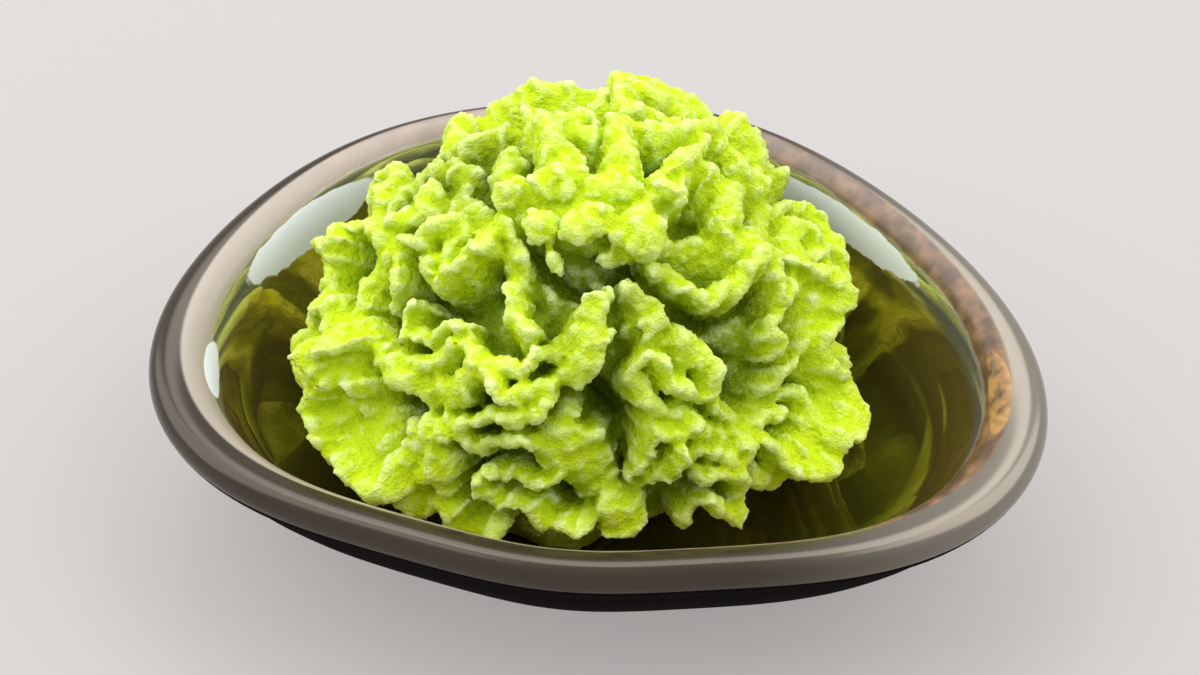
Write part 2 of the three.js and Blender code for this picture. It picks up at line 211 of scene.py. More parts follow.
def glazeMaterial():
    # iron-brown lustre glaze, fired over stoneware: it mirrors with an amber tint in the well, is
    # thin and tan just inside the lip, where it has drawn back, and is satin grey on the lip
    look = {
        "silvery": "#D2C8B8", "amber": "#D6BC5E", "pooled": "#7C7630",
        "cream": "#A89C90", "tan": "#8A6440", "rust": "#4E3218",
        "lipShadedLeft": "#3F362A", "lipLitRight": "#80786C",
        "runs": 5, "ripple": 9.0, "mottle": 2.5,      # runs of glaze round the dish, and mm
        "halfLength": 45, "halfWidth": 34,            # mm
        "lipLitFrom": (12, 42),           # mm to the right over which the lip is painted paler, painted light where it was lit brighter
        "lipEnds": (12.3, 15.2),        # point of the wall, at the back and at the front
        "lipEdge": 0.2,                 # points to each side over which the lip's grey ends
        "thinFor": 2.8,                 # points past the lip that the thin glaze lasts
        "thinFades": (0.9, 0.3),        # points more at which it has gone, and starts to go
        "thinStrays": 1.2,              # points by which the runs of glaze move that edge
        "tints": (17.6, 18.6),          # points from which it turns amber
        "pools": (19, 22),              # points from which it lies thick
        "flecks": (0.4, 0.65),          # mottle at which rust turns to tan
        # oval patches: degrees faced, half the degrees covered, middle and half height in points
        # painted reflection: pale, dull patches on the upper wall, where the softboxes would mirror
        # in the glaze
        "paintedReflection": "#E4E6EC",
        "paintedReflectionPatches": [(152, 17, 17.3, 1.4), (36, 24, 17.3, 1.2), (188, 6, 17, 0.9)],
        "gold": "#B98C48",
        "goldPatches": [(-14, 8, 15.2, 1.2)],
        "patchStrays": 0.8,             # by how much the mottle moves the edge of a patch
        "patchEdge": (1.45, 1.3),       # where a patch has gone, and where it starts to go
        "lustre": 0.85, "lipLustre": 0.4,                       # metallic
        "mirror": 0.05, "satin": 0.3, "lipSatin": 0.2,          # roughness
    }
    material, tree = newMaterial("ironLustreGlaze")
    place = addNode(tree, "TexCoord").outputs["Object"]
    along = addNode(tree, "Attribute", {"attribute_name": "alongWall"}).outputs["Fac"]
    apart = addNode(tree, "SeparateXYZ", None, {"Vector": place})
    rightwards = addNode(tree, "MapRange", None, {
        "Value": apart.outputs["X"],
        "From Min": -look["halfLength"] * mm, "From Max": look["halfLength"] * mm})
    lipEnd = addNode(tree, "MapRange", None, {
        "Value": apart.outputs["Y"],
        "From Min": look["halfWidth"] * mm, "From Max": -look["halfWidth"] * mm,
        "To Min": look["lipEnds"][0], "To Max": look["lipEnds"][1]})
    level = addNode(tree, "VectorMath", {"operation": "MULTIPLY"}, {
        0: place, 1: (1, 1, 0)})
    outwards = addNode(tree, "VectorMath", {"operation": "NORMALIZE"}, {
        0: level.outputs[0]})
    runs = addNode(tree, "TexNoise", None, {
        "Vector": outwards.outputs[0], "Scale": look["runs"], "Detail": 4, "Roughness": 0.6})
    mottle = addNode(tree, "TexNoise", None, {
        "Vector": place, "Scale": 1 / (look["mottle"] * mm), "Detail": 3})
    ripples = addNode(tree, "TexNoise", None, {
        "Vector": place, "Scale": 1 / (look["ripple"] * mm), "Detail": 1})

    def within(patches):
        # 1 within any of the oval patches, whose edges are unsteady
        covered = 0
        for facing, halfTurn, middle, halfHeight in patches:
            facing = math.radians(facing)
            towards = addNode(tree, "VectorMath", {"operation": "DOT_PRODUCT"}, {
                0: outwards.outputs[0], 1: (math.cos(facing), math.sin(facing), 0)})
            turned = addNode(tree, "MapRange", {"clamp": False}, {
                "Value": towards.outputs["Value"],
                "From Min": 1, "From Max": math.cos(math.radians(halfTurn))})
            raised = addNode(tree, "MapRange", {"clamp": False}, {
                "Value": along, "From Min": middle, "From Max": middle + halfHeight})
            oval = addNode(tree, "Math", {"operation": "MULTIPLY_ADD"}, {
                0: raised.outputs["Result"], 1: raised.outputs["Result"],
                2: turned.outputs["Result"]})
            uneven = addNode(tree, "Math", {"operation": "MULTIPLY_ADD"}, {
                0: mottle.outputs["Fac"], 1: look["patchStrays"], 2: oval.outputs[0]})
            edge = addNode(tree, "MapRange", eased, {
                "Value": uneven.outputs[0],
                "From Min": look["patchEdge"][0], "From Max": look["patchEdge"][1]})
            covered = addNode(tree, "Math", {"operation": "MAXIMUM"}, {
                0: covered, 1: edge.outputs["Result"]}).outputs[0]
        return covered

    # past the lip, in points of the wall, made unsteady by the runs of the glaze
    pastLip = addNode(tree, "Math", {"operation": "SUBTRACT"}, {
        0: along, 1: lipEnd.outputs["Result"]})
    unsteadily = addNode(tree, "Math", {"operation": "MULTIPLY_ADD"}, {
        0: runs.outputs["Fac"], 1: look["thinStrays"], 2: pastLip.outputs[0]})
    onLip = addNode(tree, "MapRange", eased, {
        "Value": pastLip.outputs[0], "From Min": look["lipEdge"], "From Max": -look["lipEdge"]})
    thin = addNode(tree, "MapRange", eased, {
        "Value": unsteadily.outputs[0],
        "From Min": look["thinFor"] + look["thinFades"][0],
        "From Max": look["thinFor"] + look["thinFades"][1]})
    # where the painted reflection of the softboxes lies on the upper wall
    paintedReflectionMask = within(look["paintedReflectionPatches"])
    pooling = addNode(tree, "MapRange", eased, {
        "Value": along, "From Min": look["pools"][0], "From Max": look["pools"][1]})
    deepening = addNode(tree, "MapRange", eased, {
        "Value": along, "From Min": look["tints"][0], "From Max": look["tints"][1]})
    tinted = addNode(tree, "Mix", inColour, {
        0: deepening.outputs["Result"], 6: linear(look["silvery"]), 7: linear(look["amber"])})
    body = addNode(tree, "Mix", inColour, {
        0: pooling.outputs["Result"], 6: tinted.outputs[2], 7: linear(look["pooled"])})
    # painted light: the satin grey lip is painted darker at the left and paler towards the right,
    # where light fell brighter on it
    lipLitFrom = addNode(tree, "MapRange", eased, {
        "Value": apart.outputs["X"],
        "From Min": look["lipLitFrom"][0] * mm, "From Max": look["lipLitFrom"][1] * mm})
    lip = addNode(tree, "Mix", inColour, {
        0: lipLitFrom.outputs["Result"], 6: linear(look["lipShadedLeft"]), 7: linear(look["lipLitRight"])})
    mottled = addNode(tree, "MapRange", None, {
        "Value": mottle.outputs["Fac"],
        "From Min": look["flecks"][0], "From Max": look["flecks"][1]})
    brown = addNode(tree, "Mix", inColour, {
        0: mottled.outputs["Result"], 6: linear(look["rust"]), 7: linear(look["tan"])})
    flecked = addNode(tree, "Math", {"operation": "MULTIPLY"}, {
        0: within(look["goldPatches"]), 1: mottled.outputs["Result"]})
    golden = addNode(tree, "Mix", inColour, {
        0: flecked.outputs[0], 6: brown.outputs[2], 7: linear(look["gold"])})
    thinGlaze = addNode(tree, "Mix", inColour, {
        0: rightwards.outputs["Result"], 6: linear(look["cream"]), 7: golden.outputs[2]})
    inside = addNode(tree, "Mix", inColour, {
        0: thin.outputs["Result"], 6: body.outputs[2], 7: thinGlaze.outputs[2]})
    # the painted reflection laid over the glaze
    withPaintedReflection = addNode(tree, "Mix", inColour, {
        0: paintedReflectionMask, 6: inside.outputs[2], 7: linear(look["paintedReflection"])})
    colour = addNode(tree, "Mix", inColour, {
        0: onLip.outputs["Result"], 6: withPaintedReflection.outputs[2], 7: lip.outputs[2]})
    dull = addNode(tree, "Math", {"operation": "MAXIMUM"}, {
        0: thin.outputs["Result"], 1: paintedReflectionMask})
    lustre = addNode(tree, "MapRange", None, {
        "Value": dull.outputs[0], "To Min": look["lustre"], "To Max": 0})
    metal = addNode(tree, "Mix", {"data_type": "FLOAT"}, {
        0: onLip.outputs["Result"], 2: lustre.outputs["Result"], 3: look["lipLustre"]})
    inner = addNode(tree, "MapRange", None, {
        "Value": dull.outputs[0], "To Min": look["mirror"], "To Max": look["satin"]})
    rough = addNode(tree, "Mix", {"data_type": "FLOAT"}, {
        0: onLip.outputs["Result"], 2: inner.outputs["Result"], 3: look["lipSatin"]})
    rippled = addNode(tree, "Bump", None, {
        "Height": ripples.outputs["Fac"], "Strength": 0.05, "Distance": 0.5 * mm})
    shader = addNode(tree, "BsdfPrincipled", None, {
        "Base Color": colour.outputs[2], "Metallic": metal.outputs[0],
        "Roughness": rough.outputs[0], "IOR": 1.5, "Normal": rippled.outputs["Normal"]})
    addNode(tree, "OutputMaterial", None, {"Surface": shader.outputs["BSDF"]})
    return material


def shadePaintedBareMaterial():
    # stoneware, fired without glaze below the lip: matt, and painted near-black for the shade that
    # falls under the lip
    look = {"dark": "#060403", "light": "#140F0B", "grog": 0.6}      # grog in mm
    material, tree = newMaterial("shadePaintedStoneware")
    place = addNode(tree, "TexCoord").outputs["Object"]
    grog = addNode(tree, "TexNoise", None, {
        "Vector": place, "Scale": 1 / (look["grog"] * mm), "Detail": 2})
    colour = addNode(tree, "Mix", inColour, {
        0: grog.outputs["Fac"], 6: linear(look["dark"]), 7: linear(look["light"])})
    rough = addNode(tree, "Bump", None, {
        "Height": grog.outputs["Fac"], "Strength": 0.3, "Distance": 0.2 * mm})
    shader = addNode(tree, "BsdfPrincipled", None, {
        "Base Color": colour.outputs[2], "Roughness": 0.8, "IOR": 1.4,
        "Specular IOR Level": 0.03, "Normal": rough.outputs["Normal"]})
    addNode(tree, "OutputMaterial", None, {"Surface": shader.outputs["BSDF"]})
    return material


# where someone looks down on the dish from: degrees, and mm round the dish's own centre
looker = {
    "elevation": 46, "distance": 300, "target": Vector((0.5, 4.9, 12)),
    "lens": 85, "sensor": 36,       # mm
    "nearest": 0.01,                # metres
}
lookDown = math.radians(looker["elevation"])
towardsEye = Vector((0, -math.cos(lookDown), math.sin(lookDown)))
upInView = towardsEye.cross(Vector((1, 0, 0)))
eye = looker["target"] + towardsEye * looker["distance"]


def placeCamera():
    camera = bpy.data.cameras.new("camera")
    camera.lens = looker["lens"]
    camera.sensor_width = looker["sensor"]
    camera.clip_start = looker["nearest"]
    stand = newPiece("camera", camera)
    stand.location = toFrame @ eye
    stand.rotation_euler = (looker["target"] - eye).to_track_quat("-Z", "Y").to_euler()
    scene.camera = stand


def asSeen(place):
    # mm right of the target and above it
    sight = place - eye
    scale = looker["distance"] / -sight.dot(towardsEye)
    return np.array((sight.x * scale, sight.dot(upInView) * scale))


paste = {
    # the mound that the paste is piped over, in mm; its pole leans to the front and the right
    "dome": {
        "middle": Vector((-2.1, 1.2, 9.5)),
        "wide": 28, "deep": 27.5, "up": 30.8, "down": 13, "power": 2.05,
        "leanFront": 21.5, "leanRight": 6,          # degrees
        "mmPerRadian": 30,                          # about, down from the pole
        # shares of the dome, away from the pole and at it, and the radians in which they change
        "root": (0.66, 0.8), "core": (0.78, 0.82), "polar": (0.15, 0.75),
        "crestAtPole": 0.93, "crestGains": 0.07, "crestPolar": (0.1, 0.6),
        "tier": 0.05, "tierDegrees": 52, "tierStart": -0.6, "tierPolar": (0.3, 0.7),
        "droop": 0.12, "droopPolar": (0, 0.7),      # radians by which a crest hangs past its root
    },
    # the soft mass drifted slowly: axis, mm, radians per mm of x, y and z, and start
    "drifts": [
        (0, 0.9, (0, 0.23, 0.31), 0.4), (0, 0.45, (0, -0.43, 0.61), 1.1),
        (1, 0.9, (-0.25, 0, 0.27), 1.9), (1, 0.45, (0.57, 0, 0.49), 2.7),
        (2, 0.7, (0.29, 0.21, 0), 3.1), (2, 0.4, (-0.55, 0.52, 0), 0.6),
    ],
    # half of a fin's section, root to crest: share of its height, share of half its thickness
    "section": [(-0.12, 1.1), (0.25, 1.15), (0.6, 1.1), (0.88, 1.05), (0.98, 0.75)],
    "tip": (1.03, 0),
    "walk": 0.4,            # mm of crest between two rings of a fin
    "fine": 30,             # places on the curve from one point of a route to the next
    "sightFrom": 0.8,       # share of the sight line at which the search for a crest starts
    "halvings": 24,         # of what is left of it
    "seedStep": 1.7,        # radians between the wobbles of one fin and of the next
    # how a fin wobbles: size, pace per mm of crest and per share of its height, and its own seed
    "wobbles": {
        "crest": (0.9, 0.35, 0, 0), "crestFine": (0.35, 1.5, 0, 4),
        "thickness": (0.25, 0.8, 2, 3), "bend": (0.6, 0.5, 1.5, 9), "ruffle": (0.4, 2, 0, 6),
        "wave": (0.12, 0.11, 0, 5), "swing": (0.08, 0.21, 0, 0), "heading": (0.3, 0.3, 0, 2),
    },
    "ruffledFrom": (0.1, 0.8),      # share of a fin's height over which it turns ruffled
    "shoulderFrom": (1, 6),         # mm of crest over which the calm stretch thickens
    "shoulderPast": (1, 7),         # mm of crest after it over which it thins again
    "endTaper": 1.6,                # mm of crest over which a fin's far end narrows
    "endSinks": 0.08,               # share of the dome by which a crest is lower at its ends
    # a fin's reach is its share of the dome's height, and its first stretch, the calm one, is
    # thicker by its shoulder; calm, taper, thickness and length are in mm, swing in radians
    "usual": {
        "front": {"reach": 1, "calm": 0, "shoulder": 1.1, "taper": 1.6, "thickness": 2.0},
        "late": {"reach": 1, "calm": 0, "shoulder": 1.1, "taper": 1.6, "thickness": 1.2},
        "back": {"reach": 1, "shoulder": 0.25, "taper": 5, "thickness": 2.3, "length": 400,
                 "swing": 1.5, "swingFrom": (-1, 2)},
    },
    # the route of a front crest, in mm right of the target and above it as the looker sees it
    "frontFins": [
        {"reach": 0.99, "calm": 8.5, "shoulder": 1.5, "thickness": 1.6, "route": [
            (1, 5.5), (-1, 2), (-2.5, -3.5), (-4.5, -2), (-9, -3), (-12, -2.5), (-12.5, -4),
            (-10.5, -5.5), (-6.5, -5.5), (-5.5, -7), (-9.5, -8.5), (-13.5, -9), (-14.5, -10.5),
            (-12.5, -12), (-8.5, -11.5), (-5, -12), (-4, -14), (-6.5, -15.5), (-10.5, -14.5),
            (-13.5, -16), (-12.5, -18.5), (-8.5, -18), (-5, -20), (-0.5, -20)]},
        {"reach": 0.985, "calm": 10, "thickness": 1.6, "route": [
            (3, 6), (5, 3), (7.5, -0.5), (11, -2), (12, -4.5), (10.5, -5.5), (8.5, -5), (6.5, -2.5),
            (5, -4), (6, -7.5), (8.5, -8.5), (11, -8), (9.5, -10), (6.5, -10.5), (4.5, -13),
            (3.5, -15.5), (6, -15.5), (8.5, -13.5), (9, -11.5), (11, -10), (13, -10.5), (12.5, -12),
            (10, -13), (10.5, -15), (14, -14.5), (15.5, -17), (14.5, -19.5), (12.5, -18),
            (10.5, -18.5), (9.5, -21.5)]},
        {"route": [(11.5, -3.5), (13, -7), (16, -10.5), (15.5, -13), (13.5, -11.5)]},
        {"reach": 0.95, "calm": 20, "thickness": 2.9, "route": [
            (-2.5, -7), (-3.5, -10.5), (-2, -14), (-0.5, -17.5)]},
        {"reach": 0.97, "calm": 20, "thickness": 2.2, "route": [
            (2.5, -16), (1.5, -18.5), (2, -22.5)]},
        {"route": [
            (5, 8), (8, 6.5), (10.5, 5), (14.5, 6), (17, 9), (18.5, 7), (20, 4), (21, 5.5), (22, 8),
            (23.5, 6), (23, 3), (21.5, -1.5), (18, -6.5)]},
        {"route": [
            (19.5, -6), (22, -7), (23.5, -9), (22, -11.5), (19.5, -12), (17.5, -10), (18.5, -8),
            (21, -8.5)]},
        {"reach": 1.08, "route": [
            (21, 8.5), (25, 7), (26.5, 4), (25, -1.5), (27.5, -5), (27.5, -8.5), (26, -11.5),
            (25, -14.5), (22, -15), (21, -13)]},
        {"route": [
            (15.5, 16.5), (13.5, 13), (14.5, 9.5), (18, 13.5), (21, 14), (24.5, 12), (24.5, 9.5),
            (22, 9)]},
        {"route": [(21, -13), (19.5, -16), (17, -14)]},
        {"route": [
            (-23.5, 2.5), (-22, 5.5), (-21.5, 9.5), (-19.5, 10), (-17, 12), (-15.5, 11), (-16.5, 9),
            (-19, 8), (-18, 6), (-15, 7.5), (-13, 10.5), (-11.5, 13), (-10, 10.5), (-9.5, 5),
            (-8.5, 1.5), (-8, -1)]},
        {"route": [(-18, 17.5), (-19, 14.5), (-22, 12.5), (-23, 9), (-25, 5), (-27, 1)]},
        {"thickness": 2.4, "route": [
            (-23, 0), (-23, -3), (-21, -5), (-17, -5), (-14, -3.5), (-13, -0.5)]},
        {"route": [
            (-24, -7.5), (-26.5, -6.5), (-28.5, -9.5), (-28, -12), (-26.5, -13), (-25, -11.5),
            (-25.5, -9.5)]},
        {"route": [(-23, -7.5), (-23.5, -11), (-21, -13), (-18, -11.5), (-15, -8)]},
        {"reach": 1.12, "route": [
            (-27, -1), (-30.5, -1.5), (-33.5, -2), (-30.5, -3.5), (-32, -6), (-31.5, -9.5),
            (-29.5, -12.5), (-27, -14.5), (-24.5, -16.5), (-22.5, -13.5)]},
        {"reach": 0.97, "route": [
            (-21, -13), (-22, -17), (-20, -19.5), (-17.5, -17), (-17, -15), (-15, -13)]},
        {"reach": 0.97, "route": [(-18, -18), (-15.5, -20.5), (-12.5, -22), (-10.5, -20)]},
        {"reach": 1.06, "thickness": 1.4, "route": [(-27, -1), (-27, -4), (-26, -6.5)]},
        {"reach": 1.06, "thickness": 1.4, "route": [(-30.5, -4), (-29, -5), (-27, -4.5)]},
        {"reach": 1.06, "thickness": 1.4, "route": [(-31.5, -9.5), (-30, -8.5), (-28.5, -10)]},
        {"reach": 1.06, "thickness": 1.4, "route": [(-29.5, -12.5), (-28, -11.5), (-26.5, -13)]},
        {"thickness": 1.4, "route": [(-21.5, -8.5), (-20, -10), (-18, -8.5)]},
        {"thickness": 1.4, "route": [(-17, -11.5), (-18.5, -14), (-20.5, -15), (-21.5, -17)]},
        {"thickness": 1.4, "route": [(24, -2.5), (25, -5.5), (23.5, -7)]},
        {"thickness": 1.4, "route": [(27, -9.5), (25, -11), (23.5, -10)]},
        {"thickness": 1.4, "route": [(23, -15), (22.5, -13.5), (21, -12.5)]},
        {"thickness": 1.4, "route": [(-19, 4), (-21, 2), (-20.5, 0), (-17.5, 0.5), (-14, 2)]},
        {"thickness": 1.4, "route": [(-25, 5), (-26.5, 2.5), (-25, 1), (-23, 0)]},
    ],
    # small late folds on the broad flanks of the front fins
    "lateFins": [
        {"route": [(-26.5, -14), (-25, -15.5), (-23, -15)]},
        {"reach": 1.02, "route": [(-29.5, -7), (-28.5, -8.5), (-27.5, -8)]},
        {"reach": 1.03, "route": [(-31, -4.5), (-30, -6), (-28.5, -5.5)]},
        {"reach": 1.02, "route": [(-29.5, -10.5), (-28.5, -12), (-27, -11)]},
        {"route": [(21.5, 0.5), (23, -0.5), (22.5, -2.5), (20.5, -3)]},
        {"reach": 0.99, "route": [(20.5, 3), (19, 1.5), (19.5, -0.5), (18, -2)]},
        {"reach": 1.02, "route": [(25.5, -7), (26.5, -8), (25, -9)]},
        {"reach": 1.02, "route": [(24.5, -11.5), (26, -12.5), (24.5, -13.5)]},
        {"route": [(-14, 1.5), (-14.5, -0.5), (-16, -2)]},
    ],
    # behind the pole each fin runs down the dome, first almost straight and then in folds:
    # azimuth in degrees round the pole, start and wave in mm of crest
    "backFins": [
        {"azimuth": 46, "start": 6, "calm": 10, "wave": 21, "length": 16},
        {"azimuth": 64, "start": 6, "calm": 15, "wave": 22, "reach": 1.05},
        {"azimuth": 85, "start": 5, "calm": 13, "wave": 22, "reach": 1.05},
        {"azimuth": 106, "start": 6, "calm": 11, "wave": 22, "reach": 1.02},
        {"azimuth": 128, "start": 5, "calm": 13, "wave": 22, "reach": 0.95},
        {"azimuth": 152, "start": 9, "calm": 10, "wave": 20, "reach": 0.93},
        {"azimuth": 172, "start": 22, "calm": 2, "wave": 20},
        {"azimuth": 190, "start": 27, "calm": 2, "wave": 20},
        {"azimuth": 26, "start": 20, "calm": 2, "wave": 20},
        {"azimuth": 6, "start": 27, "calm": 2, "wave": 20},
    ],
    "backEnds": 1,          # mm above the well where a back fin's crest ends
    "nudge": 0.01,          # radians, to measure the dome with
    "leastAcross": 3,       # mm per radian round the pole
    # between the front fins lie narrow creases and full swellings: rise as a share of the dome,
    # mm of width to each side, and the route that the looker sees
    "dents": [
        (-0.16, 2.8, [(-12.5, -1.5), (-12.5, -4.5), (-14.5, -8.5), (-17, -12.5), (-19.5, -15)]),
        (-0.16, 2.4, [(0.5, -6), (1.5, -9.5), (1.5, -13), (1, -17)]),
        (-0.18, 2.8, [(13, -3.5), (14, -7), (16.5, -10), (18, -12.5), (16.5, -15.5)]),
        (-0.1, 2.4, [(-12, 16), (-11.5, 12), (-9.5, 7), (-7.5, 4)]),
        (-0.12, 2.4, [(-22, -7), (-18, -6.5), (-14, -6)]),
        (-0.1, 2.2, [(-6, 10), (-4, 7.5), (0, 6.5), (3.5, 7)]),
        (-0.1, 2.2, [(6, 15), (7, 12.5), (8, 11)]),
        (-0.06, 2.4, [(11, 2), (13, 4.5), (15, 6)]),
        (-0.06, 1.6, [(-4, -6), (-4.5, -8.5), (-4, -11)]),
        (0.15, 4.2, [(7, 10.5), (10.5, 9), (14.5, 8)]),
        (0.17, 3.4, [(-21.5, -1.5), (-18, -3), (-15, -1.5)]),
        (0.05, 6.5, [(15.5, 1.5), (18, -1), (19, -4)]),
        (0.07, 4, [(-20.5, -9.5), (-21.5, -12.5)]),
        (0.1, 5, [(-29, -5), (-29, -8.5), (-27, -12.5)]),
        (0.05, 4, [(25.5, -6.5), (25, -11)]),
        (0.06, 4, [(-6.5, 4), (-9, 0.5)]),
        (-0.12, 2, [(23.5, 1), (25, -3), (25.5, -7)]),
        (-0.16, 1.6, [(21, -9.5), (22, -10)]),
        (-0.14, 1.5, [(-20.5, 0.5), (-18.5, -0.5)]),
        (-0.12, 1.4, [(-27, -8.5), (-26.5, -10.5)]),
        (-0.1, 1.4, [(-30, -6.5), (-30, -9.5)]),
        (-0.14, 1.6, [(-21.5, -10.5), (-20, -11.5)]),
        (-0.16, 1.3, [(-31.5, -7.5), (-28, -7), (-25, -6.5)]),
        (-0.16, 1.3, [(-31, -11), (-28, -9.5), (-25, -8.5)]),
        (-0.16, 1.3, [(-28.5, -14), (-26, -11.5), (-24, -10)]),
        (-0.14, 1.3, [(-24.5, -15.5), (-23.5, -12.5)]),
        (-0.14, 1.3, [(27.5, -8), (25, -9.5), (23, -9)]),
        (-0.14, 1.3, [(26.5, -12), (24, -12), (22, -12.5)]),
        (-0.14, 1.3, [(-10.5, -4), (-7, -4)]),
        (-0.14, 1.3, [(-12, -10.5), (-8.5, -10)]),
        (-0.14, 1.4, [(-8.5, -13), (-6, -13.5)]),
        (-0.14, 1.3, [(-11, -16.5), (-7.5, -17)]),
        (-0.14, 1.3, [(6.5, -4), (9.5, -5)]),
        (-0.14, 1.3, [(6, -6.5), (7, -7)]),
        (-0.14, 1.3, [(6, -12), (7.5, -11.5)]),
        (-0.14, 1.3, [(11.5, -12), (12, -13.5)]),
    ],
    "dentWalk": 0.5,                # mm between the places of a dent's route
    "dentsSeenAt": 0.9,             # share of the dome
    "fullest": 1.02,                # share of the dome that the core never passes
    "coreSides": (280, 140),        # round it, and from pole to pole
    "coreNarrows": 0.2,             # share by which the core gets narrower towards its base
    "narrowsFrom": (2, -6),         # mm above the dome's middle
    "baseStretch": 1.8,             # times that the core reaches deeper than the dome
    # the torn lumps behind the pole: mm from it to the right, back and up, half sizes in mm, turn
    # in degrees, and the share of the lump that holds together
    "lumps": [
        ((-1.0, 6.6, -1.9), (9.0, 5.6, 3.0), 0, 0.88),
        ((3.3, 3.6, 1.0), (3.0, 3.5, 2.3), 15, 0.97),
        ((-2.0, 4.4, 1.2), (3.6, 2.3, 1.7), 25, 0.97),
        ((6.2, 8.4, 0.6), (2.6, 1.3, 1.2), -35, 0.9),
        ((-6.4, 4.4, -0.2), (2.6, 2.0, 1.6), 60, 0.9),
        ((0.6, 8.6, 0.4), (4.2, 2.2, 1.5), 0, 0.88),
        ((-5.6, 9.0, 0.0), (2.8, 2.4, 1.6), -20, 0.88),
        ((1.0, 1.6, -0.6), (2.6, 1.3, 1.2), 10, 0.9),
        ((-9.6, 8.0, -1.2), (2.2, 2.0, 1.6), 0, 0.88),
    ],
    "lumpsAt": 0.9,         # share of the dome's height
    "randomSeed": 7,
    # the uneven bits that a lump is torn into, as shares of it
    "lumpBits": {"count": 9, "out": 0.72, "size": (0.25, 0.5), "length": (0.8, 1.5),
                 "breadth": (0.7, 1.1)},
    # small bits strewn round the pole, in mm and radians
    "tornBits": {"count": 10, "within": 6.5, "crowding": 0.6, "spread": (1.2, 0.9),
                 "middle": (-2, 5.5), "height": (-2, 1), "sinks": 0.05, "tilt": (-0.6, 0.6),
                 "half": [(1, 2), (0.7, 1.3), (0.7, 1.2)]},
    "voxel": 0.23,          # mm
    "soften": (0.5, 5),     # share and times
    # what the surface is broken up by: size and depth in mm
    "lumpy": {"kind": "CLOUDS", "size": 2.6, "depth": 0.5},
    "torn": {"kind": "CLOUDS", "size": 1.0, "depth": 0.35},
    "grains": {"kind": "VORONOI", "size": 0.6, "depth": -0.35},
    "ragged": {"kind": "CLOUDS", "size": 1.5, "depth": 0.6},
    "raggedFrom": (24, 35),     # mm of height over which the paste turns from smooth to ragged
    "clearance": 0.3,           # mm between the paste and the glaze
    "wellDepth": 10,            # mm of height up to which the dish counts as well and not as wall
    "triangles": 194000,
}
dome = paste["dome"]

leanRight = math.tan(math.radians(dome["leanRight"]))
leanFront = math.tan(math.radians(dome["leanFront"]))
pole = Vector((leanRight, -leanFront, 1)).normalized()
east = (Vector((1, 0, 0)) - pole * pole.x).normalized()
north = pole.cross(east)


def domeRadius(direction):
    power = dome["power"]
    height = dome["up"] if direction.z > 0 else dome["down"]
    total = (abs(direction.x / dome["wide"]) ** power + abs(direction.y / dome["deep"]) ** power
             + abs(direction.z / height) ** power)
    return total ** (-1 / power)


def onDome(azimuth, down, share=1, proud=0):
    aside = east * math.cos(azimuth) + north * math.sin(azimuth)
    direction = pole * math.cos(down) + aside * math.sin(down)
    return dome["middle"] + direction * (domeRadius(direction) * share + proud)


def shareOf(name, down):
    away, atPole = dome[name]
    return away + (atPole - away) * (1 - smooth(*dome["polar"], down))


def settled(place):
    # where a place came to lie as the mass drifted, so that no two folds match
    moved = list(place)
    for axis, size, pace, start in paste["drifts"]:
        moved[axis] += size * math.sin(
            pace[0] * place.x + pace[1] * place.y + pace[2] * place.z + start)
    return Vector(moved)


def crestShare(fin, down):
    # how high a crest stands at an angle down from the pole, as a share of the dome: in tiers
    turns = 2 * math.pi * down / math.radians(dome["tierDegrees"])
    tier = dome["tier"] * math.sin(turns + dome["tierStart"])
    rise = dome["crestAtPole"] + dome["crestGains"] * smooth(*dome["crestPolar"], down)
    return fin["reach"] * rise + tier * smooth(*dome["tierPolar"], down)


def seenOnDome(fin, right, above):
    # the azimuth and angle down of a crest that the looker sees at a place; the sight line is
    # halved again and again, towards where it goes in at the height of the crests
    aim = looker["target"] + Vector((right, above * math.sin(lookDown), above * math.cos(lookDown)))
    near, far = paste["sightFrom"], 1
    for halving in range(paste["halvings"]):
        halfway = (near + far) / 2
        place = eye.lerp(aim, halfway)
        out = place * 2 - settled(place) - dome["middle"]
        direction = out.normalized()
        down = math.acos(min(max(direction.dot(pole), -1), 1))
        azimuth = math.atan2(direction.dot(north), direction.dot(east))
        if out.length > domeRadius(direction) * crestShare(fin, down):
            near = halfway
        else:
            far = halfway
    return azimuth, down


def evenly(route, walk):
    # places on the smooth curve through the route, all one walk apart
    fine = paste["fine"]
    curve = [onCurve(route, i, k / fine) for i in range(len(route) - 1) for k in range(fine)]
    curve = np.array(curve + [Vector(route[-1])])
    lengths = np.concatenate([[0], np.cumsum(np.hypot(*np.diff(curve, axis=0).T))])
    even = np.linspace(0, lengths[-1], round(lengths[-1] / walk) + 1)
    return np.column_stack([np.interp(even, lengths, curve[:, axis]) for axis in (0, 1)])


def unsteady(name, run, seed, rise=0):
    size, pace, risePace, ownSeed = paste["wobbles"][name]
    return size * wobble(run * pace + rise * risePace, seed + ownSeed)


def frontPath(fin):
    # where the crest is at each step: azimuth, angle down from the pole, crest so far
    places = evenly(fin["route"], paste["walk"])
    return [(*seenOnDome(fin, *at), i * paste["walk"]) for i, at in enumerate(places.tolist())]


